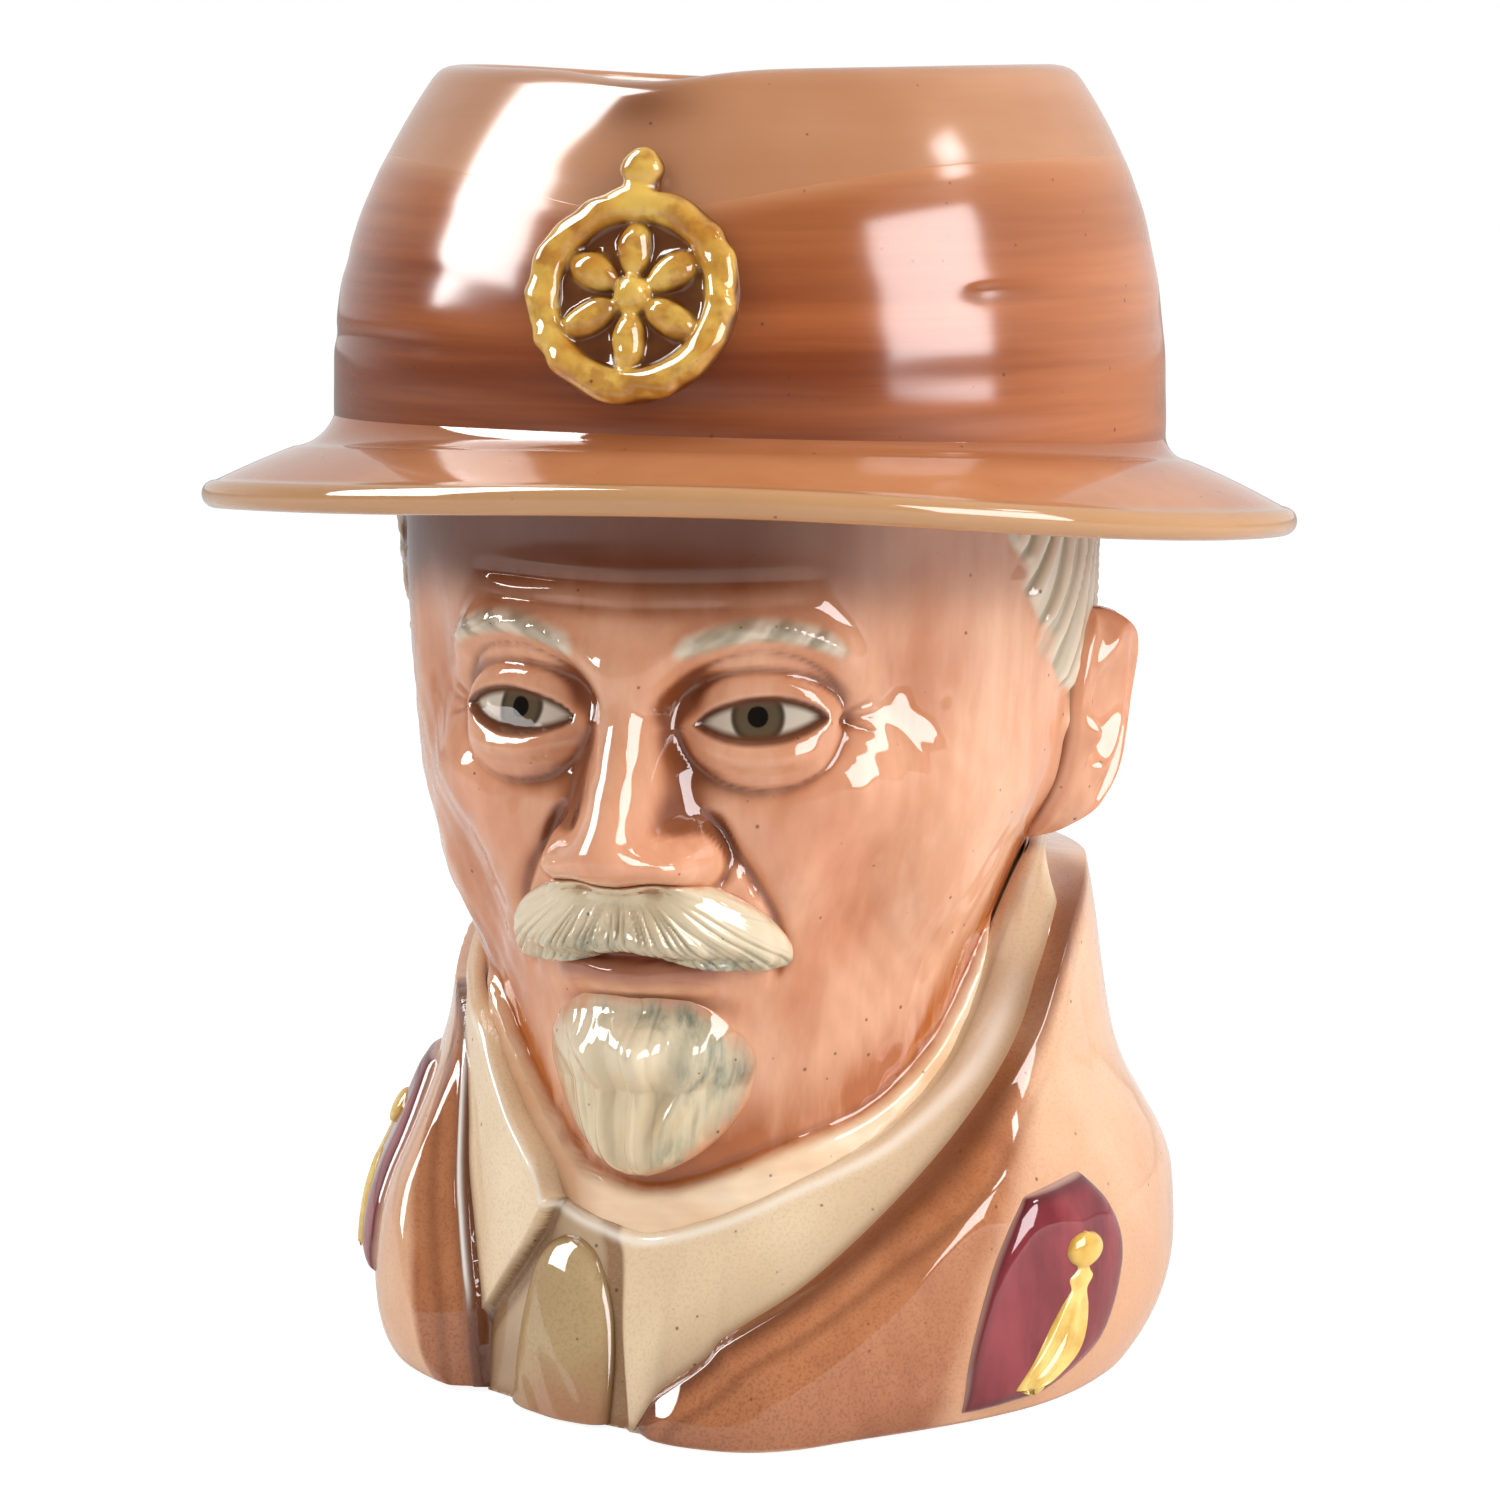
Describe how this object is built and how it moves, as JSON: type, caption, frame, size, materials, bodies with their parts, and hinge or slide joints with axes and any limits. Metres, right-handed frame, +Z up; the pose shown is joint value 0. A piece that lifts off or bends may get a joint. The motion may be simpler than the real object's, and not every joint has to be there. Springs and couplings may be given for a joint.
{
  "type": "character jug",
  "caption": "Glazed earthenware jug shaped as a head and shoulders in a brimmed hat, open at the crown with a pulled pouring lip and a loop handle behind.",
  "frame": {"origin": "centre of the foot, on the surface the jug stands on", "axes": "+Z up through the rim; the face and the pouring lip look along -Y; the handle is on the +Y side"},
  "size_m": [0.14, 0.1679, 0.165],
  "materials": {
    "jacket_glaze": "underglaze colour wash under a clear high-gloss glaze",
    "shirt_glaze": "underglaze colour wash under a clear high-gloss glaze",
    "tie_glaze": "underglaze colour wash under a clear high-gloss glaze",
    "skin_glaze": "underglaze colour wash under a clear high-gloss glaze",
    "hair_glaze": "underglaze colour wash under a clear high-gloss glaze",
    "hat_glaze": "underglaze colour wash under a clear high-gloss glaze",
    "band_glaze": "underglaze colour wash under a clear high-gloss glaze",
    "gold_glaze": "underglaze colour wash under a clear high-gloss glaze",
    "crimson_glaze": "underglaze colour wash under a clear high-gloss glaze",
    "handle_glaze": "underglaze colour wash under a clear high-gloss glaze"
  },
  "bodies": {
    "root": {"floor_disc": "shirt_glaze", "shoulders": "jacket_glaze", "shirt_collar": "shirt_glaze", "tie_knot": "tie_glaze", "head": "skin_glaze", "left_ear": "skin_glaze", "right_ear": "skin_glaze", "moustache": "hair_glaze", "chin_beard": "hair_glaze", "hat_brim": "hat_glaze", "hat_crown": "hat_glaze", "hat_band": "band_glaze", "hat_badge": "gold_glaze", "left_patch": "crimson_glaze", "right_patch": "crimson_glaze", "left_patch_cord": "gold_glaze", "right_patch_cord": "gold_glaze", "handle": "handle_glaze"}
  },
  "joints": []
}
